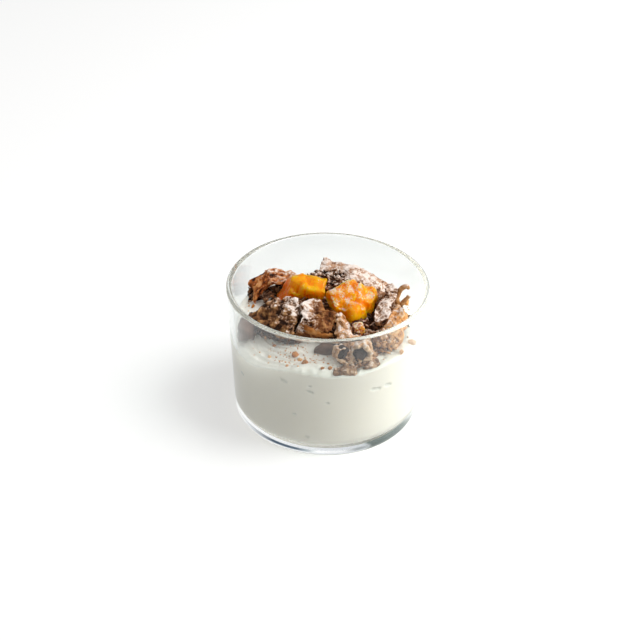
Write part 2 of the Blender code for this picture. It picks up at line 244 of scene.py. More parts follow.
def spooned_level(x, y):
    """The height of the yogurt's top where nothing lies on it."""
    wander = FOLD_WANDER * noise.noise(Vector((x, y, 0)) / FOLD_PATCH)
    sweep = math.hypot(x - FOLD_CENTRE[0], y - FOLD_CENTRE[1]) + wander
    fold = FOLD_HEIGHT * math.sin(math.tau * sweep / FOLD_PITCH)
    mound = MOUND_HEIGHT * bell(x, y, MOUND_AT, MOUND_SPREAD)
    radius, turn = math.hypot(x, y), math.atan2(y, x)
    swept = radius + RIDGE_WANDER * noise.noise(Vector((turn * RIDGE_BENDS, 5.0, 0.0)))
    smear = sum(high * math.exp(-((swept - at) / wide) ** 2) for at, wide, high in SPOON_RIDGES)
    breaks = Vector((turn * RIDGE_BREAKS[0], radius / RIDGE_BREAKS[1], 9.0))
    smear *= bell(x, y, RIDGES_AT, RIDGES_SPREAD) * (1.0 + RIDGE_UNEVEN * noise.noise(breaks))
    dimples = DIMPLE_DEPTH * noise.noise(Vector((x, y, 7.0)) / DIMPLE_SIZE)
    into_edge = max(0.0, radius - (inner_radius(YOGURT_LEVEL) - SHOULDER)) / SHOULDER
    drop = SHOULDER_DROP * (1 - math.sqrt(max(0.0, 1 - into_edge ** 2)))
    sag = SAG_DEPTH * bell(x, y, SAG_AT, SAG_SPREAD)
    return YOGURT_LEVEL + fold + mound + smear + dimples - sag - drop


def joined_skin(nodes):
    """The faces of these solids of the part as one tree to cast rays at, in millimetres."""
    points, faces = [], []
    for name in nodes:
        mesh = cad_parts[name].data
        faces += [[len(points) + k for k in face.vertices] for face in mesh.polygons]
        points += [vert.co / MM for vert in mesh.vertices]
    return BVHTree.FromPolygons(points, faces)


toppings = joined_skin([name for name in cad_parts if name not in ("glass", "yogurt")])
SUNK_SHARE = 0.45


def yogurt_level(x, y):
    """The spooned top, pressed down where a topping would otherwise be buried in it."""
    level = spooned_level(x, y)
    under = toppings.ray_cast(Vector((x, y, FLOOR)), Vector((0, 0, 1)))[0]
    if under is None or under.z > level:
        return level
    over = toppings.ray_cast(Vector((x, y, GLASS_HEIGHT)), Vector((0, 0, -1)))[0]
    return min(level, under.z + SUNK_SHARE * (over.z - under.z))


def pocket(angle, z):
    """How far the yogurt stands off the glass here, where a bubble of air was left at the wall."""
    deep = 0.0
    for turn, height, size in AIR_POCKETS:
        across = inner_radius(height) * math.radians((math.degrees(angle) - turn + 180) % 360 - 180)
        up = z - height + POCKET_TILT * across
        out = math.hypot(across / (POCKET_LONG * size), up / (POCKET_TALL * size))
        deep = max(deep, POCKET_DEPTH * (1 - out ** 2)) if out < 1 else deep
    return deep


def make_yogurt():
    """Up from the rounded corner of the floor, along the wall and over the top, as one skin."""
    corner = FLOOR + INNER_HEEL
    angles = np.arange(YOGURT_SIDES) * math.tau / YOGURT_SIDES
    edge = inner_radius(YOGURT_LEVEL) + WETTING
    rings = []
    middle = (inner_radius(corner) - INNER_HEEL, corner)
    for r, z in arc(middle, INNER_HEEL + WETTING, -90, 0, CORNER_RINGS):
        rings.append([(r, z)] * YOGURT_SIDES)
    contact = [yogurt_level(edge * math.cos(a), edge * math.sin(a)) for a in angles]
    for step in range(1, SIDE_RINGS + 1):
        heights = [corner + (level - corner) * step / SIDE_RINGS for level in contact]
        wall = [inner_radius(z) + WETTING - pocket(a, z) for a, z in zip(angles, heights)]
        rings.append(list(zip(wall, heights)))
    for step in range(TOP_RINGS - 1, 0, -1):
        r = edge * step / TOP_RINGS
        rings.append([(r, yogurt_level(r * math.cos(a), r * math.sin(a))) for a in angles])
    points = [
        (r * math.cos(a), r * math.sin(a), z) for ring in rings for (r, z), a in zip(ring, angles)
    ]
    points += [(0, 0, FLOOR - WETTING), (0, 0, yogurt_level(0, 0))]
    n, top = YOGURT_SIDES, (len(rings) - 1) * YOGURT_SIDES
    faces = []
    for k in range(n):
        j = (k + 1) % n
        faces += [(len(points) - 2, j, k), (len(points) - 1, top + k, top + j)]
        for low in range(0, top, n):
            faces.append((low + k, low + j, low + n + j, low + n + k))
    return make_object("yogurt_fill", points, faces)


# Strained yogurt: a warm off-white that light sinks a millimetre into, moist but not glossy.
yogurt_finish, tree, shader = start_material("strained_yogurt", {
    "Base Color": linear("#F7F1E7"), "Roughness": 0.42, "IOR": 1.35, "Subsurface Weight": 1.0,
    "Subsurface Radius": (0.8, 0.8, 0.8), "Subsurface Scale": 0.0016,
})
yogurt = make_yogurt()
settle(yogurt, yogurt_finish, "yogurt", "yogurt")

# ---------------------------------------------------------------- the sugared shavings
# Milk chocolate shaved off a block: the leaves crack, crumple and shed crumbs as they curl, so their
# faces are craggy and their edges torn. The larger ones carry a dusting of icing sugar.

GRAIN = 0.25
CRAG_SIZE = 3.6
FLAKE_LIFT = 0.6
FLAKE_TILT = 1.6
GRIT_SIZE = 0.5


def skinned(piece, grain, soften):
    """The same piece as one closed skin of faces the size of the grain, its edges softened."""
    skin = piece.modifiers.new("skin", "REMESH")
    skin.mode, skin.voxel_size = "VOXEL", grain * MM
    piece.modifiers.new("soften", "SMOOTH").iterations = soften
    graph = bpy.context.evaluated_depsgraph_get()
    fine = bpy.data.meshes.new_from_object(piece.evaluated_get(graph), depsgraph=graph)
    piece.modifiers.clear()
    piece.data = fine
    fine.shade_smooth()
    return piece


def fine_copy(name, node, soften=2):
    """A skin round this solid of the part."""
    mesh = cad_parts[node].data
    points = [vert.co / MM for vert in mesh.vertices]
    faces = [list(face.vertices) for face in mesh.polygons]
    return skinned(make_object(name, points, faces), GRAIN, soften)


def crumple(piece, size, reach, seed):
    """Bends the whole piece to and fro, with folds of this size, each way on its own."""
    for vert in piece.data.vertices:
        spot = vert.co / (size * MM) + Vector((seed, 0, seed))
        spots = (spot, spot + Vector((9, 4, 7)), spot - Vector((5, 8, 3)))
        vert.co += Vector([noise.noise(one) for one in spots]) * (reach * MM)
    piece.data.update()


def carve(piece, depth):
    """Moves each point out along its normal by depth(point), in millimetres, and notes how far."""
    normals = [vert.normal.copy() for vert in piece.data.vertices]
    relief = piece.data.attributes.new("relief", "FLOAT", "POINT")
    moves = [depth(vert.co / MM) for vert in piece.data.vertices]
    for vert, normal, move in zip(piece.data.vertices, normals, moves):
        vert.co += normal * (move * MM)
    relief.data.foreach_set("value", moves)
    piece.data.update()


def press(piece, place, reach, push):
    """Pushes the skin round a place by this much, less and less out to its reach."""
    for vert in piece.data.vertices:
        near = 1 - (vert.co / MM - Vector(place)).length / reach
        if near > 0:
            vert.co += Vector(push) * (MM * near * near * (3 - 2 * near))
    piece.data.update()


def pare(piece, place, facing):
    """Breaks the piece off flat where it stands proud of the plane through a place."""
    facing = Vector(facing).normalized()
    for vert in piece.data.vertices:
        proud = (vert.co / MM - Vector(place)).dot(facing)
        if proud > 0:
            vert.co -= facing * (proud * MM)
    piece.data.update()


def craggy(seed, crag, flake, grit=0.1, swell=0.0, span=2.4):
    """The broken face of a shaving: low crests, flakes at odd heights and tilts, and grit all over.

    Crag, flake and grit are how high each stands, swell fills the piece out, and span is the width of a
    flake.
    """
    shift = Vector((seed * 1.7, seed * 2.3, seed * 0.9))

    def depth(point):
        crest = noise.ridged_multi_fractal(point / CRAG_SIZE + shift, 0.9, 2.1, 3, 1.0, 2.0) - 1.0
        spot = point / span + shift
        middle = noise.voronoi(spot)[1][0]
        tilt = noise.noise_vector(middle * 5.3).dot(spot - middle)
        step = FLAKE_LIFT * noise.noise(middle * 9.1) + FLAKE_TILT * tilt
        return swell + crag * crest + flake * step + grit * noise.noise(point / GRIT_SIZE + shift)

    return depth


# What varies in the chocolate and in the icing sugar on it, in millimetres. A grain of the sugar is about
# 0.02 mm, too fine to show, so the sugar is drawn as clumps of 0.8 mm in drifts of 3.4 mm.
BLOTCH = 2.2
SUGAR_DRIFT = 3.4
SUGAR_CLUMP = 0.8
CLUMP_HEIGHT = 0.3
SUGAR_FILM_COLOUR = "#C9A58B"
SUGAR_COLOUR = "#F6E8DE"
SUGAR_START = 1.32
SUGAR_SPAN = 0.5


def chocolate(name, hollow_shade, body, crest, sugar, lean=(0, 0, 0), about=(0, 0, 0)):
    """Milk chocolate, broken rather than cut: matt and waxy, with painted shade dark in its hollows and
    painted light paler on its crests.

    Sugar is how much has fallen on it, from below 0 for none to 0.7 for a thick dusting, and it thickens
    by lean for each millimetre away from the point it is about.
    """
    material, tree, shader = start_material(name, {
        "Roughness": 0.6, "IOR": 1.46, "Specular IOR Level": 0.15,
    })
    # The brown, with painted shade where the surface sinks and painted light where it stands out, and soft
    # blotches.
    place = add_node(tree, "TexCoord", {}, {}).outputs["Object"]
    relief = add_node(tree, "Attribute", {"attribute_name": "relief"}, {})
    blotch = add_node(tree, "TexNoise", {}, {
        "Vector": place, "Scale": 1 / (BLOTCH * MM), "Detail": 5.0,
    })
    shade = add_node(tree, "Math", {"operation": "MULTIPLY_ADD"}, {
        0: relief.outputs["Fac"], 1: 0.9, 2: blotch.outputs[0],
    })
    low = add_node(tree, "MapRange", {}, {0: shade.outputs[0], 1: 0.1, 2: 0.5})
    high = add_node(tree, "MapRange", {}, {0: shade.outputs[0], 1: 0.5, 2: 0.85})
    dark = add_node(tree, "Mix", {"data_type": "RGBA"}, {
        0: low.outputs[0], 6: linear(hollow_shade), 7: linear(body),
    })
    brown = add_node(tree, "Mix", {"data_type": "RGBA"}, {
        0: high.outputs[0], 6: dark.outputs[2], 7: linear(crest),
    })
    # The sugar, most on faces that look up and where the surface stands out.
    geometry = add_node(tree, "NewGeometry", {}, {})
    up = add_node(tree, "SeparateXYZ", {}, {0: geometry.outputs["Normal"]})
    faces_up = add_node(tree, "MapRange", {}, {
        0: up.outputs[2], 1: 0.15, 2: 0.9, 3: -0.35, 4: 0.12,
    })
    drift = add_node(tree, "TexNoise", {}, {
        "Vector": place, "Scale": 1 / (SUGAR_DRIFT * MM), "Detail": 2.0,
    })
    from_point = add_node(tree, "VectorMath", {"operation": "SUBTRACT"}, {
        0: place, 1: Vector(about) * MM,
    })
    leaning = add_node(tree, "VectorMath", {"operation": "DOT_PRODUCT"}, {
        0: from_point.outputs[0], 1: Vector(lean) / MM,
    })
    fallen = add_node(tree, "Math", {"operation": "ADD"}, {
        0: faces_up.outputs[0], 1: leaning.outputs["Value"],
    })
    clump = add_node(tree, "TexNoise", {}, {
        "Vector": place, "Scale": 1 / (SUGAR_CLUMP * MM), "Detail": 2.0, "Roughness": 0.65,
    })
    drifted = add_node(tree, "Math", {"operation": "ADD"}, {
        0: drift.outputs[0], 1: clump.outputs[0],
    })
    amount = add_node(tree, "Math", {"operation": "ADD"}, {
        0: drifted.outputs[0], 1: fallen.outputs[0],
    })
    caught = add_node(tree, "Math", {"operation": "MULTIPLY_ADD"}, {
        0: relief.outputs["Fac"], 1: 0.45, 2: amount.outputs[0],
    })
    start = SUGAR_START - SUGAR_SPAN * sugar
    film = add_node(tree, "MapRange", {"interpolation_type": "SMOOTHSTEP"}, {
        0: caught.outputs[0], 1: start - 0.2, 2: start + 0.06, 4: 0.7,
    })
    thick = add_node(tree, "MapRange", {"interpolation_type": "SMOOTHSTEP"}, {
        0: caught.outputs[0], 1: start, 2: start + 0.26, 4: 0.95,
    })
    filmed = add_node(tree, "Mix", {"data_type": "RGBA"}, {
        0: film.outputs[0], 6: brown.outputs[2], 7: linear(SUGAR_FILM_COLOUR),
    })
    sugared = add_node(tree, "Mix", {"data_type": "RGBA"}, {
        0: thick.outputs[0], 6: filmed.outputs[2], 7: linear(SUGAR_COLOUR),
    })
    tree.links.new(sugared.outputs[2], shader.inputs["Base Color"])
    bump = add_node(tree, "Bump", {}, {
        "Strength": 0.6, "Distance": CLUMP_HEIGHT * MM, "Height": clump.outputs[0],
    })
    tree.links.new(bump.outputs[0], shader.inputs["Normal"])
    return material


rose = chocolate("sugared_chocolate_rose", "#42240F", "#9A6440", "#CFA07C", sugar=0.7)
ember = chocolate("milk_chocolate_ember", "#2A0F05", "#AC5A26", "#E4A060", sugar=0.12,
                  lean=(0.0, 0.0, 0.06), about=(-24.0, 16.0, 53.5))
bark = chocolate("sugared_chocolate_bark", "#1E0D06", "#5E361D", "#9C6E48", sugar=0.62)
ridge = chocolate("sugared_chocolate_ridge", "#2A1208", "#74421F", "#B07C4C", sugar=0.1,
                  lean=(-0.085, 0.0, 0.035), about=(-5.0, -14.0, 54.5))
fawn = chocolate("sugared_chocolate_fawn", "#70401F", "#C68C56", "#E8BE90", sugar=0.45)
caramel = chocolate("milk_chocolate_caramel", "#84491F", "#DA9A5C", "#F4C896", sugar=0.25)

# Each leaf's fold size and bend, the heights of its crags and flakes, its dents and bulges (place, reach
# and push), and where it broke off flat (place and facing).
for seed, (node, finish, fold, bend, crag, flake, presses, pares) in enumerate([
    ("shard_back", rose, 6.0, 1.0, 0.25, 0.32,
     [((12, 17, 57), 12, (0, 0, 1.4))],
     [((-4.7, 12.0, 56.0), (-0.97, 0.1, 0.1))]),
    ("leaf_back_left", ember, 6.5, 3.4, 0.5, 0.38,
     [((-27, 10, 52), 6, (1.5, 4.5, -2.5)), ((-22, 15, 58), 8, (0, 0, -1.6)),
      ((-30, 15, 55), 4, (-1.5, 0, 1.0))], []),
    ("leaf_front_middle", ridge, 4.5, 1.8, 0.45, 0.42,
     [((-12.5, -9, 58), 7, (-3.2, 0, 1.6)), ((0.5, -10, 56), 6, (0, 1.5, -3.0)),
      ((-4, -19, 52), 7, (0, -1.6, 0.4))], []),
    ("leaf_front_second", fawn, 3.2, 1.8, 0.5, 0.5, [], []),
    ("tube_right", caramel, 5.0, 1.2, 0.4, 0.35, [((23.5, -22, 49), 5, (0, 3.5, 0))], []),
    ("leaf_right", bark, 4.0, 1.5, 0.5, 0.4, [((21, -13, 54), 8, (-0.3, -2.2, -2.6))], []),
]):
    leaf = fine_copy(node + "_sugared", node)
    crumple(leaf, fold, bend, seed)
    for place, reach, push in presses:
        press(leaf, place, reach, push)
    for place, facing in pares:
        pare(leaf, place, facing)
    carve(leaf, craggy(seed, crag, flake))
    settle(leaf, finish, "dusted_chocolate", node)

# ---------------------------------------------------------------- the plain shavings
# Thinner shavings of the same block that curled up as they came off: two curls, a loop and small leaves.
# They carry little sugar, except for the two curls and the leaf that lies under the slab.

SHAVING_FOLD = 3.0
SHAVING_FLAKE = 0.35

sweet = chocolate("milk_chocolate_plain", "#1A0B05", "#54301A", "#9A6A44", sugar=0.05)
tan = chocolate("milk_chocolate_tan", "#5A3520", "#C8966C", "#F0CCA8", sugar=0.42)

for seed, (node, finish, bend, crag, swell) in enumerate([
    ("leaf_under_shard", bark, 1.3, 0.4, 0.5), ("leaf_inside_left", sweet, 1.3, 0.3, 0.0),
    ("loop_left", sweet, 1.3, 0.2, 0.0), ("curl_front_left", tan, 1.0, 0.4, 0.1),
    ("curl_front_right", tan, 1.3, 0.4, 0.3), ("leaf_in_gap", sweet, 1.3, 0.3, 0.0),
], start=10):
    leaf = fine_copy(node + "_shaved", node)
    crumple(leaf, SHAVING_FOLD, bend, seed)
    carve(leaf, craggy(seed, crag, SHAVING_FLAKE, swell=swell))
    settle(leaf, finish, "chocolate", node)

# ---------------------------------------------------------------- the folded strip
# A narrow shaving that broke as it folded: two blunt fingers that point up and out at the right, over the
# pleats. It is milk chocolate too, and lies on the shavings below it.


def bent_strip(name, routes):
    """Rounded strips along these routes of (x, y, z, half thickness), in millimetres."""
    curve = bpy.data.curves.new(name, "CURVE")
    curve.dimensions, curve.bevel_depth, curve.bevel_resolution = "3D", MM, 4
    curve.use_fill_caps = True
    for route in routes:
        spline = curve.splines.new("NURBS")
        spline.points.add(len(route) - 1)
        for point, (x, y, z, thick) in zip(spline.points, route):
            point.co = (x * MM, y * MM, z * MM, 1.0)
            point.radius = thick
        spline.order_u, spline.use_endpoint_u, spline.resolution_u = 3, True, 10
    drawn = bpy.data.objects.new(name + "_route", curve)
    bpy.context.scene.collection.objects.link(drawn)
    graph = bpy.context.evaluated_depsgraph_get()
    mesh = bpy.data.meshes.new_from_object(drawn.evaluated_get(graph), depsgraph=graph)
    piece = bpy.data.objects.new(name, mesh)
    bpy.context.scene.collection.objects.link(piece)
    bpy.data.objects.remove(drawn)
    return piece


strip = skinned(bent_strip("folded_strip", [
    [(27.0, 1.0, 51.5, 1.3), (28.9, 2.0, 54.3, 1.3), (29.9, 2.0, 58.0, 1.2),
     (31.6, 2.0, 60.4, 1.1), (33.6, 2.2, 61.0, 1.0), (34.0, 2.2, 59.4, 0.7)],
    [(27.8, 0.0, 49.5, 1.2), (29.9, 0.8, 50.9, 1.1), (32.2, 1.5, 53.2, 1.0),
     (34.4, 2.0, 56.2, 0.8)],
    [(28.9, 1.6, 56.0, 1.1), (29.6, 1.2, 53.0, 1.2), (29.4, 0.6, 50.4, 1.1)],
]), GRAIN, 2)
carve(strip, craggy(31, 0.12, 0.2, grit=0.05))
settle(strip, fawn, "chocolate", "strip_right")

# ---------------------------------------------------------------- the rolled edge
# The front middle leaf's lower edge rolled under as it was shaved: a smooth tube of milk chocolate with
# no sugar on it, lying along the foot of the leaf.

toffee = chocolate("smooth_milk_chocolate", "#54280F", "#AC6A30", "#DCA468", sugar=-0.2)
rolled = skinned(bent_strip("rolled_edge", [
    [(-9.4, -18.4, 52.9, 1.1), (-6.5, -19.8, 52.1, 1.6), (-3.5, -20.6, 51.4, 1.7),
     (-0.5, -20.6, 50.7, 1.5), (2.2, -20.0, 50.0, 0.9)],
]), GRAIN, 2)
carve(rolled, craggy(33, 0.1, 0.1, grit=0.03))
settle(rolled, toffee, "chocolate")

# ---------------------------------------------------------------- the rubble
# Broken shavings that lie between the larger ones and close the gaps down to the yogurt: thin bent chips
# of the same chocolate, dropped one on another. Only those near enough to the top to be seen are made.

CHIP_THICKNESS = 0.7
CHIP_TEAR = 0.22
CHIP_BUCKLE = 0.18
CHIP_CURL = 0.9
CHIP_WIDTHS = (0.4, 0.8)
CHIP_CELLS = (4, 2)
PILE_CELL = 1.5
PILE_STEP = 0.8
PILE_LIFT = 0.5
HEADROOM = 1.2
SEEN_DEPTH = 3.2
HEAP_FOOT = 46.0
HEAP_SLOPE = 0.9
HEAP_TOP = 52.5
HEAP_ACROSS = (-34, -22, -20, -8, 2, 12, 20, 28, 33)
HEAP_FRONT = (13.5, 13.5, -14, -20, -24, -27, -25, -17, -4)
HEAP_BACK = (20, 21, 20, 15, 19, 20, 17, 9, 1)
HILL_DROP = 4.0
FOOT_LOW = 43.6
FOOT_TOP = 47.5
FOOT_DEPTH = 8
FOOT_ACROSS = (-33, -31.5, -22.5, -13.5, -5, 3)
FOOT_FRONT = (-6, -8.0, -12.4, -18.8, -23.2, -23.5)


def chip_shape(dice, length, width, curl):
    """Points and faces of one thin bent chip with torn edges, round its own middle."""
    long, wide = CHIP_CELLS
    points = []
    for side in (1, -1):
        for i in range(long + 1):
            for j in range(wide + 1):
                x, y = i / long - 0.5, j / wide - 0.5
                torn = 1 + dice.uniform(-CHIP_TEAR, CHIP_TEAR)
                buckle = dice.uniform(-CHIP_BUCKLE, CHIP_BUCKLE)
                lift = curl * (1 - 4 * x * x) + buckle + side * CHIP_THICKNESS / 2
                points.append((x * length * torn, y * width * torn, lift))
    across, layer = wide + 1, (long + 1) * (wide + 1)
    faces = []
    for i in range(long):
        for j in range(wide):
            k = i * across + j
            faces.append((k, k + across, k + across + 1, k + 1))
            faces.append((layer + k, layer + k + 1, layer + k + across + 1, layer + k + across))
    ring = list(range(wide + 1))
    ring += [i * across + wide for i in range(1, long + 1)]
    ring += [long * across + j for j in range(wide - 1, -1, -1)]
    ring += [i * across for i in range(long - 1, 0, -1)]
    for here, following in zip(ring, ring[1:] + ring[:1]):
        faces.append((here, following, layer + following, layer + here))
    return points, faces


def heap_limit(x, y):
    """How high the chips may lie here: they slope up from the edge of the heap to its middle."""
    inset = min(y - np.interp(x, HEAP_ACROSS, HEAP_FRONT), np.interp(x, HEAP_ACROSS, HEAP_BACK) - y)
    return min(HEAP_FOOT + HEAP_SLOPE * inset, HEAP_TOP) if inset > 0 else 0.0


def foot_limit(x, y):
    """How high the chips may lie at the foot of the biscuit, where the yogurt sags from under it."""
    inset = y - np.interp(x, FOOT_ACROSS, FOOT_FRONT)
    if not (0 < inset < FOOT_DEPTH and FOOT_ACROSS[0] < x < FOOT_ACROSS[-1]):
        return 0.0
    return min(FOOT_LOW + inset, FOOT_TOP)


def hill_limit(middle, half, top):
    """A limit for one oval hill of chips: its middle, its half widths and its top."""

    def limit(x, y):
        out = math.hypot((x - middle[0]) / half[0], (y - middle[1]) / half[1])
        return top - HILL_DROP * out ** 2 if out < 1 else 0.0

    return limit


def drop_chips(name, tries, seed, limit, middle, half, lengths):
    """Chips dropped at random wherever there is room between the toppings, up to the limit."""
    dice = random.Random(seed)
    piled, points, faces, tones = {}, [], [], []
    for _ in range(tries):
        x, y = (m + dice.uniform(-1, 1) * h for m, h in zip(middle, half))
        cell = (round(x / PILE_CELL), round(y / PILE_CELL))
        top = limit(x, y)
        level = yogurt_level(x, y) if top else 0.0
        under = piled.get(cell, max(level, top - SEEN_DEPTH))
        if under > top - PILE_LIFT:
            continue
        over = toppings.ray_cast(Vector((x, y, level + 0.3)), Vector((0, 0, 1)))[0]
        if over is not None and over.z < under + HEADROOM:
            continue
        length = dice.uniform(*lengths)
        width = dice.uniform(*CHIP_WIDTHS) * length
        shape, sides = chip_shape(dice, length, width, dice.uniform(-CHIP_CURL, CHIP_CURL))
        turn = Matrix.Rotation(dice.uniform(0, math.tau), 3, "Z")
        turn = turn @ Matrix.Rotation(dice.gauss(0, 0.6), 3, "X")
        turn = turn @ Matrix.Rotation(dice.gauss(0, 0.5), 3, "Y")
        faces += [[len(points) + k for k in side] for side in sides]
        points += [turn @ Vector(point) + Vector((x, y, under + PILE_LIFT)) for point in shape]
        tones += [dice.uniform(-0.35, 0.3)] * len(shape)
        piled[cell] = under + PILE_STEP
    piece = make_object(name, points, faces)
    piece.data.attributes.new("relief", "FLOAT", "POINT").data.foreach_set("value", tones)
    return piece


flecked = chocolate("flecked_chocolate", "#1A0B05", "#4E2C17", "#8A5E3C", sugar=0.5)

# Each pile's finish, how many chips are tried, its seed, its middle and half widths, the range of its
# chips' lengths, and its limit: one of the two above, or the top of a hill.
for name, finish, tries, seed, middle, half, lengths, limit in [
    ("chocolate_rubble", sweet, 12000, 5, (0, -7), (34, 28), (1.8, 4.6), heap_limit),
    ("rubble_under_biscuit", sweet, 5000, 9, (-17, -14), (17, 13), (1.6, 3.2), foot_limit),
    ("flecked_rubble_behind_fruit", flecked, 3000, 6, (-0.5, 13.0), (9, 7), (1.4, 3.4), 60.0),
    ("tan_rubble_by_curls", tan, 3000, 7, (11.5, -29), (7, 6), (1.4, 3.4), 52.5),
    ("tan_rubble_at_right", fawn, 3000, 8, (23.5, -20), (4.5, 4.5), (1.4, 3.4), 53.0),
]:
    if not callable(limit):
        limit = hill_limit(middle, half, limit)
    settle(drop_chips(name, tries, seed, limit, middle, half, lengths), finish, "chocolate")

# ---------------------------------------------------------------- the painted shade in the curls, and two dark pieces
# Where the curls are open, the shade inside them is painted: a near-black lump of chocolate fills each. A
# smooth greyish-brown lump lies on the yogurt below the heap's front, and a leaf leans on the glass at the
# left. All are plain dark chocolate, unbroken and without sugar.


def pebble(name, places, roundness=1.0):
    """Rounded lumps as one piece: middle and half sizes of each, squarer with a roundness below 1."""
    points, faces = [], []
    for middle, half in places:
        bm = bmesh.new()
        bmesh.ops.create_icosphere(bm, subdivisions=4, radius=1.0)
        faces += [[len(points) + vert.index for vert in face.verts] for face in bm.faces]
        for vert in bm.verts:
            squared = [math.copysign(abs(c) ** roundness, c) for c in vert.co]
            points.append(Vector([m + h * c for m, h, c in zip(middle, half, squared)]))
        bm.free()
    return make_object(name, points, faces)


# Painted shade: near-black lumps stand in for the shade inside the open curls.
cocoa = chocolate("painted_curl_shade", "#0C0503", "#1E100A", "#3A2418", sugar=-0.4)
insides = pebble("curl_shade_lumps", [
    ((6.2, -32.2, 51.0), (2.0, 3.7, 2.2)), ((12.6, -31.6, 49.9), (2.7, 4.2, 2.8)),
])
crumple(insides, 3.0, 1.3, 50)
carve(insides, craggy(50, 0.1, 0.15))
settle(insides, cocoa, "chocolate")

umber = chocolate("smooth_chocolate", "#4A3428", "#5E4436", "#75594A", sugar=-0.4)
# A smooth greyish-brown lump on the yogurt below the heap's front.
shaded = pebble("dark_lump_below_front", [((-0.6, -24.9, 46.4), (5.0, 1.4, 3.4))])
crumple(shaded, 5.0, 0.8, 51)
carve(shaded, lambda point: 0.05 * noise.noise(point))
settle(shaded, umber, "chocolate")

at_wall = pebble("leaf_left_wall_smooth", [((-33.4, -13.4, 47.2), (3.0, 3.3, 6.2))], 0.6)
pare(at_wall, (-32.6, -15.2, 50.4), (0.45, -0.55, 0.7))
pare(at_wall, (-33.0, -15.6, 44.6), (0.3, -0.6, -0.74))
crumple(at_wall, 3.0, 0.9, 53)
carve(at_wall, craggy(53, 0.25, 0.2, grit=0.03))
settle(at_wall, umber, "chocolate", "leaf_left_wall")

# ---------------------------------------------------------------- the biscuit
# A chunk of baked cocoa biscuit with oats in it, broken off by hand: knobbly and open, browner than
# chocolate. Three flaky crumbs of it lie at the glass and by the fruit.

SMALL_KNOB = 1.7
LARGE_KNOB = 4.6
RIPPLE = 2.6
PIT_SIZE = 0.8
PIT_DEPTH = 0.35
BISCUIT_FOLD = 5.0
BISCUIT_BEND = 1.2


def knobbly(seed, knob):
    """A baked, broken face: round knobs a few millimetres across with pits between them."""
    shift = Vector((seed, seed * 0.7, seed * 1.3))

    def depth(point):
        small, large = (noise.voronoi(point / size + shift)[0] for size in (SMALL_KNOB, LARGE_KNOB))
        ripple = noise.noise(point / RIPPLE + shift)
        knobs = 0.5 * ripple + 0.35 * (0.5 - small[0]) + 0.9 * (0.5 - large[0])
        return knob * knobs + PIT_DEPTH * noise.noise(point / PIT_SIZE)

    return depth


baked = chocolate("cocoa_biscuit", "#2E190D", "#7A4F2E", "#B58757", sugar=0.45,
                  lean=(0.035, 0.0, 0.04), about=(-19.0, -12.0, 56.5))
flaky = chocolate("biscuit_crumb", "#4A2C1B", "#8C6445", "#C09A7A", sugar=0.3)
for seed, (node, finish, knob, pares) in enumerate([
    ("biscuit_front_left", baked, 1.3, [
        ((-27.5, -13.0, 56.5), (-0.62, -0.15, 0.77)), ((-31.5, -14.0, 52.5), (-0.95, -0.1, 0.3)),
        ((-29.4, -8.0, 53.6), (-0.66, 0.25, 0.72)),
    ]),
    ("crumb_at_wall_left", flaky, 0.8, []), ("crumb_at_wall_right", flaky, 0.7, []),
    ("crumb_by_fruit", flaky, 0.9, []),
]):
    chunk = fine_copy(node + "_baked", node)
    for place, facing in pares:
        pare(chunk, place, facing)
    crumple(chunk, BISCUIT_FOLD, BISCUIT_BEND, seed + 20)
    carve(chunk, knobbly(seed, knob))
    settle(chunk, finish, "biscuit", node)

# ---------------------------------------------------------------- the crumbs
# Biscuit crumbs that fell on the yogurt, from dust to three millimetres, thickest at the front where the
# heap leaves it bare. Each is an angular bit, about a third of it sunk in the yogurt.

# x, y and half the width of each crumb that is large enough to have its own place.
CRUMB_SPOTS = [
    (-23.0, -24.4, 1.1), (-12.6, -26.8, 1.3), (-8.4, -32.3, 1.2), (-15.7, -32.6, 0.9),
    (-10.9, -28.9, 0.9), (-32.3, 6.8, 1.1), (-34.1, 8.3, 0.7), (33.6, 11.9, 1.8),
    (29.8, -24.4, 1.3), (34.2, -17.1, 1.6), (-7.1, 36.0, 0.6), (-25.7, -11.3, 0.8),
    (-21.7, -17.1, 0.9), (1.5, -36.6, 0.9), (-1.7, -37.0, 0.8),
]
CRUMB_LIFT = 0.3
DUST_COUNT = 260
DUST_LIMIT = 37.5
FRONT_SHARE = 0.75
FRONT_TURN = (-112, 18)
FRONT_RADIUS = (31, 3.5)


def crumb_shape(dice, size):
    bm = bmesh.new()
    bmesh.ops.create_icosphere(bm, subdivisions=1, radius=size)
    stretch = Vector([dice.uniform(0.7, 1.3) for _ in range(3)])
    points = [vert.co * stretch * dice.uniform(0.55, 1.35) for vert in bm.verts]
    faces = [[vert.index for vert in face.verts] for face in bm.faces]
    bm.free()
    return points, faces


def scatter_crumbs(name, spots, seed):
    """One piece of all these crumbs."""
    dice = random.Random(seed)
    all_points, all_faces, tones = [], [], []
    for x, y, size in spots:
        points, faces = crumb_shape(dice, size)
        lift = Vector((x, y, yogurt_level(x, y) + CRUMB_LIFT * size))
        all_faces += [[len(all_points) + k for k in face] for face in faces]
        all_points += [point + lift for point in points]
        tones += [dice.uniform(-0.15, 0.4)] * len(points)
    piece = make_object(name, all_points, all_faces)
    piece.data.shade_flat()
    piece.data.attributes.new("relief", "FLOAT", "POINT").data.foreach_set("value", tones)
    return piece


def dust_spots(count, seed):
    """Small crumbs along the bare front of the yogurt, and a few all round."""
    dice = random.Random(seed)
    spots = []
    while len(spots) < count:
        if dice.random() < FRONT_SHARE:
            turn, radius = math.radians(dice.gauss(*FRONT_TURN)), dice.gauss(*FRONT_RADIUS)
        else:
            turn, radius = math.radians(dice.uniform(0, 360)), dice.uniform(30, 37)
        if radius < DUST_LIMIT:
            size = dice.uniform(0.12, 0.5) ** 1.3
            spots.append((radius * math.cos(turn), radius * math.sin(turn), size))
    return spots


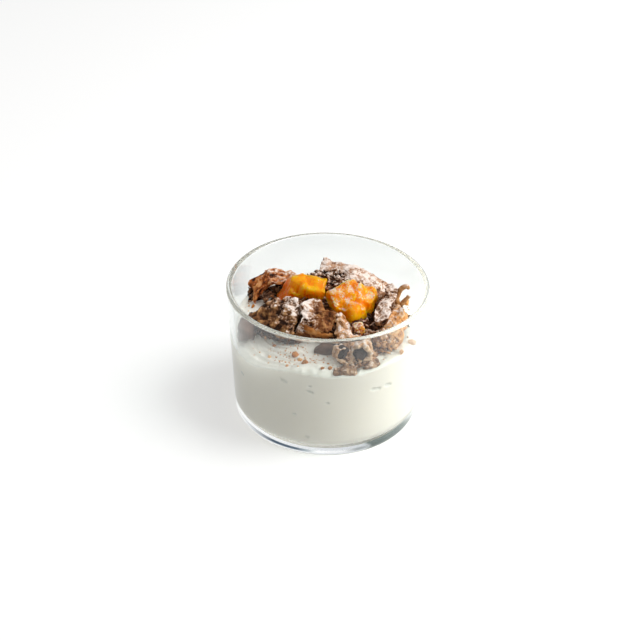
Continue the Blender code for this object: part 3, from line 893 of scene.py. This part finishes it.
amber = chocolate("biscuit_crumb_amber", "#8A4E22", "#C4803C", "#E8B478", sugar=0.0)
crumbs = scatter_crumbs("biscuit_crumbs", CRUMB_SPOTS + dust_spots(DUST_COUNT, 3), 4)
settle(crumbs, amber, "biscuit")

# ---------------------------------------------------------------- the fruit
# Ripe peach cut in dice with the skin left on one side: wet, glowing flesh, redder towards the skin.
# Icing sugar has fallen on the right-hand pieces.

FLESH_CLOUD = 3.0
CLOUD_HEIGHT = 0.4
FRUIT_DRIFT = 3.0
FRUIT_CLUMP = 0.65
FRUIT_FOLD = 5.0
FRUIT_BEND = 1.1
SKIN_BLUSH = "#FF6A12"
WET_SUGAR = "#F6DCC8"
RIPE = ("#FF8000", "#FFB608")
BRUISED = ("#A4551A", "#E09A3C")


def peach(name, sugar, red_at, lean, flesh):
    """Cut ripe peach: wet and smooth, and light goes some millimetres into it, so that it glows.

    It blushes to the left of red_at, and the sugar thickens by lean for each millimetre to the right. The
    sugar melts a little on it, so its clumps are finer and less white than on the chocolate.
    """
    material, tree, shader = start_material(name, {
        "Roughness": 0.28, "IOR": 1.38, "Specular IOR Level": 0.3, "Coat Weight": 0.08,
        "Coat Roughness": 0.12, "Subsurface Weight": 1.0, "Subsurface Radius": (1.0, 0.5, 0.12),
        "Subsurface Scale": 0.006,
    })
    # The flesh: painted shade deepens its orange where it sinks and painted light yellows it where it
    # stands out, soft clouds vary it, and the blush.
    place = add_node(tree, "TexCoord", {}, {}).outputs["Object"]
    relief = add_node(tree, "Attribute", {"attribute_name": "relief"}, {})
    across = add_node(tree, "SeparateXYZ", {}, {0: place})
    cloud = add_node(tree, "TexNoise", {}, {
        "Vector": place, "Scale": 1 / (FLESH_CLOUD * MM), "Detail": 4.0,
    })
    tone = add_node(tree, "Math", {"operation": "MULTIPLY_ADD"}, {
        0: relief.outputs["Fac"], 1: 0.7, 2: cloud.outputs[0],
    })
    ripeness_and_shade = add_node(tree, "MapRange", {}, {0: tone.outputs[0], 1: 0.25, 2: 0.75})
    ripe = add_node(tree, "Mix", {"data_type": "RGBA"}, {
        0: ripeness_and_shade.outputs[0], 6: linear(flesh[0]), 7: linear(flesh[1]),
    })
    edge = add_node(tree, "MapRange", {"interpolation_type": "SMOOTHSTEP"}, {
        0: across.outputs[0], 1: (red_at + 4.0) * MM, 2: (red_at - 2.5) * MM,
    })
    fleshy = add_node(tree, "Mix", {"data_type": "RGBA"}, {
        0: edge.outputs[0], 6: ripe.outputs[2], 7: linear(SKIN_BLUSH),
    })
    # The sugar, most on faces that look up.
    geometry = add_node(tree, "NewGeometry", {}, {})
    up = add_node(tree, "SeparateXYZ", {}, {0: geometry.outputs["Normal"]})
    faces_up = add_node(tree, "MapRange", {}, {
        0: up.outputs[2], 1: 0.1, 2: 0.9, 3: -0.3, 4: 0.1,
    })
    clump = add_node(tree, "TexNoise", {}, {
        "Vector": place, "Scale": 1 / (FRUIT_CLUMP * MM), "Detail": 2.5, "Roughness": 0.6,
    })
    drift = add_node(tree, "TexNoise", {}, {
        "Vector": place, "Scale": 1 / (FRUIT_DRIFT * MM), "Detail": 1.0,
    })
    drifted = add_node(tree, "Math", {"operation": "MULTIPLY_ADD"}, {
        0: clump.outputs[0], 1: 1.5, 2: drift.outputs[0],
    })
    leaning = add_node(tree, "Math", {"operation": "MULTIPLY_ADD"}, {
        0: across.outputs[0], 1: lean / MM, 2: -9.0 * lean,
    })
    fallen = add_node(tree, "Math", {"operation": "ADD"}, {
        0: faces_up.outputs[0], 1: leaning.outputs[0],
    })
    amount = add_node(tree, "Math", {"operation": "ADD"}, {
        0: drifted.outputs[0], 1: fallen.outputs[0],
    })
    dusting = add_node(tree, "MapRange", {"interpolation_type": "SMOOTHSTEP"}, {
        0: amount.outputs[0], 1: 1.56 - 0.5 * sugar, 2: 1.84 - 0.5 * sugar, 4: 0.85,
    })
    sugared = add_node(tree, "Mix", {"data_type": "RGBA"}, {
        0: dusting.outputs[0], 6: fleshy.outputs[2], 7: linear(WET_SUGAR),
    })
    tree.links.new(sugared.outputs[2], shader.inputs["Base Color"])
    bump = add_node(tree, "Bump", {}, {
        "Strength": 0.35, "Distance": CLOUD_HEIGHT * MM, "Height": cloud.outputs[0],
    })
    tree.links.new(bump.outputs[0], shader.inputs["Normal"])
    return material


def closed_up(piece, reach):
    """Fills the notches narrower than twice the reach, as soft flesh does: out, joined, and back."""
    for way in (reach, -reach):
        normals = [vert.normal.copy() for vert in piece.data.vertices]
        for vert, normal in zip(piece.data.vertices, normals):
            vert.co += normal * (way * MM)
        piece.data.update()
        skinned(piece, GRAIN, 3)


# Each piece's flesh and sugar, where it reddens, the sugar's lean, the notches it closes, the width of
# its flakes, its dents and bulges (place, reach and push), and where the knife left it flat (place and
# facing).
for seed, (node, flesh, sugar, red_at, lean, notch, span, presses, pares) in enumerate([
    ("fruit_left", RIPE, -0.1, -17.5, 0.0, 0.0, 4.2,
     [((-13.5, 3, 58), 3.5, (0.3, 1.0, -2.2)), ((-8, 8, 60), 8, (0, 0, 0.8))], []),
    ("fruit_right", RIPE, 0.62, -12.0, -0.008, 1.15, 4.2,
     [((6.5, -10, 58.5), 3.5, (0, 1.6, -2.4)), ((13.4, 0, 61), 4, (0.4, 1.0, 1.6)),
      ((18, -4, 60), 5, (0.3, 0.3, -1.6))],
     [((4.5, -5.0, 60.3), (-0.3, -0.5, 0.81)), ((11.0, -13.0, 57.5), (0.1, -0.75, 0.66)),
      ((18.0, -2.0, 60.2), (0.35, -0.35, 0.87))]),
    ("fruit_bit", BRUISED, 0.9, -12.0, 0.0, 0.0, 1.6, [], []),
], start=40):
    die = fine_copy(node + "_cut", node, soften=8)
    if notch:
        closed_up(die, notch)
    crumple(die, FRUIT_FOLD, FRUIT_BEND, seed)
    for place, reach, push in presses:
        press(die, place, reach, push)
    for place, facing in pares:
        pare(die, place, facing)
    carve(die, craggy(seed, 0.15, 0.4, grit=0.06, span=span))
    settle(die, peach(node + "_peach", sugar, red_at, lean, flesh), "fruit", node)

# ---------------------------------------------------------------- the table
# A white laminate table top. Round the glass's foot, the light and shade that its thick base throws as a
# lens are painted on it: a bright band of painted light with a thin blue-grey painted streak in it at the
# left, and painted shade at the right.

TABLE_HALF = 3000
TABLE_WHITE = "#E2E2E1"
TABLE_GLOW = (0.36, 0.36, 0.36, 1.0)
# Under the painted light and shade round the glass's foot, the table's own colour is this dark grey.
UNDER_PAINT_GREY = (0.1, 0.1, 0.1, 1.0)
BAND_RADII = (36.0, 32.5)
STREAK_RADIUS = 29.3
STREAK_EDGES = (1.3, 0.4)
# The painted light and painted shade round the foot of the glass, by share of a turn from the left.
PAINTED_CAUSTIC_COLOURS = (
    (0.0, "#FFFFFF"), (0.290, "#FFFFFF"), (0.305, "#CFD1D6"), (0.340, "#C5C9CC"),
    (0.350, "#5E6A67"), (0.455, "#77837F"), (0.49, "#E8EAE8"), (0.60, "#E8EAE8"),
    (0.75, "#C8CCC9"), (0.90, "#F4F4F2"),
)
# The thin painted streak: a ring of painted blue-grey shade within the band, by share of a turn from the
# left.
PAINTED_STREAK_COLOURS = (
    (0.0, "#FFFFFF"), (0.125, "#FFFFFF"), (0.140, "#33485C"), (0.190, "#43586A"),
    (0.215, "#A9B2B8"), (0.235, "#FFFFFF"), (0.290, "#E6E6E8"), (0.318, "#8D9396"),
    (0.345, "#B0B4B6"), (0.350, "#4E5A57"), (0.455, "#77837F"), (0.49, "#E8EAE8"),
)

corners = [(x * TABLE_HALF, y * TABLE_HALF, 0) for x, y in ((-1, -1), (1, -1), (1, 1), (-1, 1))]
floor = make_object("table", corners, [(0, 1, 2, 3)])
# White laminate: matt, even and bright. Part of its white is a glow, and the painted caustic light and
# shade round the glass's foot are all emission over a dark grey.
table_finish, tree, shader = start_material("white_laminate", {
    "Base Color": linear(TABLE_WHITE), "Roughness": 0.6, "Emission Strength": 1.0,
})
place = add_node(tree, "TexCoord", {}, {}).outputs["Object"]
spot = add_node(tree, "SeparateXYZ", {}, {0: place})
flat = add_node(tree, "CombineXYZ", {}, {0: spot.outputs[0], 1: spot.outputs[1]})
reach = add_node(tree, "VectorMath", {"operation": "LENGTH"}, {0: flat.outputs[0]})
inside = add_node(tree, "MapRange", {"interpolation_type": "SMOOTHSTEP"}, {
    0: reach.outputs["Value"], 1: BAND_RADII[0] * MM, 2: BAND_RADII[1] * MM,
})
bearing = add_node(tree, "Math", {"operation": "ARCTAN2"}, {0: spot.outputs[1], 1: spot.outputs[0]})
share = add_node(tree, "MapRange", {}, {0: bearing.outputs[0], 1: -math.pi, 2: math.pi})
painted_rings = []
for stops in (PAINTED_CAUSTIC_COLOURS, PAINTED_STREAK_COLOURS):
    band = add_node(tree, "ValToRGB", {}, {0: share.outputs[0]})
    marks = band.color_ramp.elements
    marks = [marks[0], marks[1]] + [marks.new(0.5) for _ in stops[2:]]
    for (at, colour), mark in zip(stops, marks):
        mark.position, mark.color = at, linear(colour)
    painted_rings.append(band.outputs[0])
from_streak = add_node(tree, "Math", {"operation": "SUBTRACT"}, {
    0: reach.outputs["Value"], 1: STREAK_RADIUS * MM,
})
off_streak = add_node(tree, "Math", {"operation": "ABSOLUTE"}, {0: from_streak.outputs[0]})
on_streak = add_node(tree, "MapRange", {"interpolation_type": "SMOOTHSTEP"}, {
    0: off_streak.outputs[0], 1: STREAK_EDGES[0] * MM, 2: STREAK_EDGES[1] * MM,
})
# The painted caustic: the band's painted light and shade, with the painted streak laid into its ring.
painted_caustic = add_node(tree, "Mix", {"data_type": "RGBA"}, {
    0: on_streak.outputs[0], 6: painted_rings[0], 7: painted_rings[1],
})
glow = add_node(tree, "Mix", {"data_type": "RGBA"}, {
    0: inside.outputs[0], 6: TABLE_GLOW, 7: painted_caustic.outputs[2],
})
tree.links.new(glow.outputs[2], shader.inputs["Emission Color"])
# Within the band the table's white gives way to dark grey, so that only the painted light and shade show
# there.
ground = add_node(tree, "Mix", {"data_type": "RGBA"}, {
    0: inside.outputs[0], 6: linear(TABLE_WHITE), 7: UNDER_PAINT_GREY,
})
tree.links.new(ground.outputs[2], shader.inputs["Base Color"])
floor.data.materials.append(table_finish)

# ---------------------------------------------------------------- the light
# One large round softbox stands at the right, a little above the glass, in a white room. It gives the
# food its soft shadows to the left.

KEY_TURN = -4.0
KEY_RISE = 42.0
KEY_DISTANCE = 1200.0
KEY_WIDTH = 1000
KEY_POWER = 14.0
KEY_AIM = (0, 0, 45)

key = bpy.data.lights.new("key_softbox", "AREA")
key.shape = "DISK"
key.size = KEY_WIDTH * MM
key.energy = KEY_POWER
softbox = bpy.data.objects.new("key_softbox", key)
turn, rise = math.radians(KEY_TURN), math.radians(KEY_RISE)
away = Vector((math.cos(turn) * math.cos(rise), math.sin(turn) * math.cos(rise), math.sin(rise)))
softbox.location = (Vector(KEY_AIM) + away * KEY_DISTANCE) * MM
softbox.rotation_euler = away.to_track_quat("Z", "Y").to_euler()
bpy.context.scene.collection.objects.link(softbox)

# The room: brighter overhead than at the horizon. Seen directly or through the glass it is plain white,
# so that the glass looks clear while the food keeps its shadows.
world = bpy.data.worlds.new("studio")
world.use_nodes = True
bpy.context.scene.world = world
tree = world.node_tree
background = tree.nodes["Background"]
direction = add_node(tree, "TexCoord", {}, {}).outputs["Generated"]
height = add_node(tree, "SeparateXYZ", {}, {0: direction})
overhead = add_node(tree, "MapRange", {"interpolation_type": "SMOOTHSTEP"}, {
    0: height.outputs[2], 1: 0.1, 2: 0.9, 3: 0.15, 4: 0.6,
})
path = add_node(tree, "LightPath", {}, {})
unscattered = add_node(tree, "Math", {"operation": "LESS_THAN"}, {
    0: path.outputs["Diffuse Depth"], 1: 0.5,
})
looks_out = add_node(tree, "Math", {"operation": "MAXIMUM"}, {
    0: path.outputs["Is Camera Ray"], 1: path.outputs["Is Transmission Ray"],
})
sees_room = add_node(tree, "Math", {"operation": "MULTIPLY"}, {
    0: unscattered.outputs[0], 1: looks_out.outputs[0],
})
seen = add_node(tree, "Mix", {}, {0: sees_room.outputs[0], 2: overhead.outputs[0], 3: 1.0})
tree.links.new(seen.outputs[0], background.inputs["Strength"])
background.inputs["Color"].default_value = (1, 1, 1, 1)

# ---------------------------------------------------------------- the camera
# A lens of 74 mm looks from the front and above, held a degree off level. Light has to pass the glass's
# skin many times along its rim and base, so the bounces are many.

CAMERA_AT = Vector((0.0, -465.4, 356.1))
CAMERA_AIM = Vector((-3.2, 0.0, 44.1))
CAMERA_ROLL = 1.066
CAMERA_LENS = 73.63
NEAREST = 10
BOUNCES = 48

camera = bpy.data.objects.new("camera", bpy.data.cameras.new("camera"))
camera.data.lens = CAMERA_LENS
camera.data.clip_start = NEAREST * MM
camera.location = CAMERA_AT * MM
view = (CAMERA_AIM - CAMERA_AT).to_track_quat("-Z", "Y").to_matrix()
camera.rotation_euler = (view @ Matrix.Rotation(math.radians(CAMERA_ROLL), 3, "Z")).to_euler()
bpy.context.scene.collection.objects.link(camera)
bpy.context.scene.camera = camera
bpy.context.scene.view_settings.view_transform = "Standard"
bpy.context.scene.cycles.max_bounces = BOUNCES
bpy.context.scene.cycles.glossy_bounces = BOUNCES
bpy.context.scene.cycles.transmission_bounces = BOUNCES
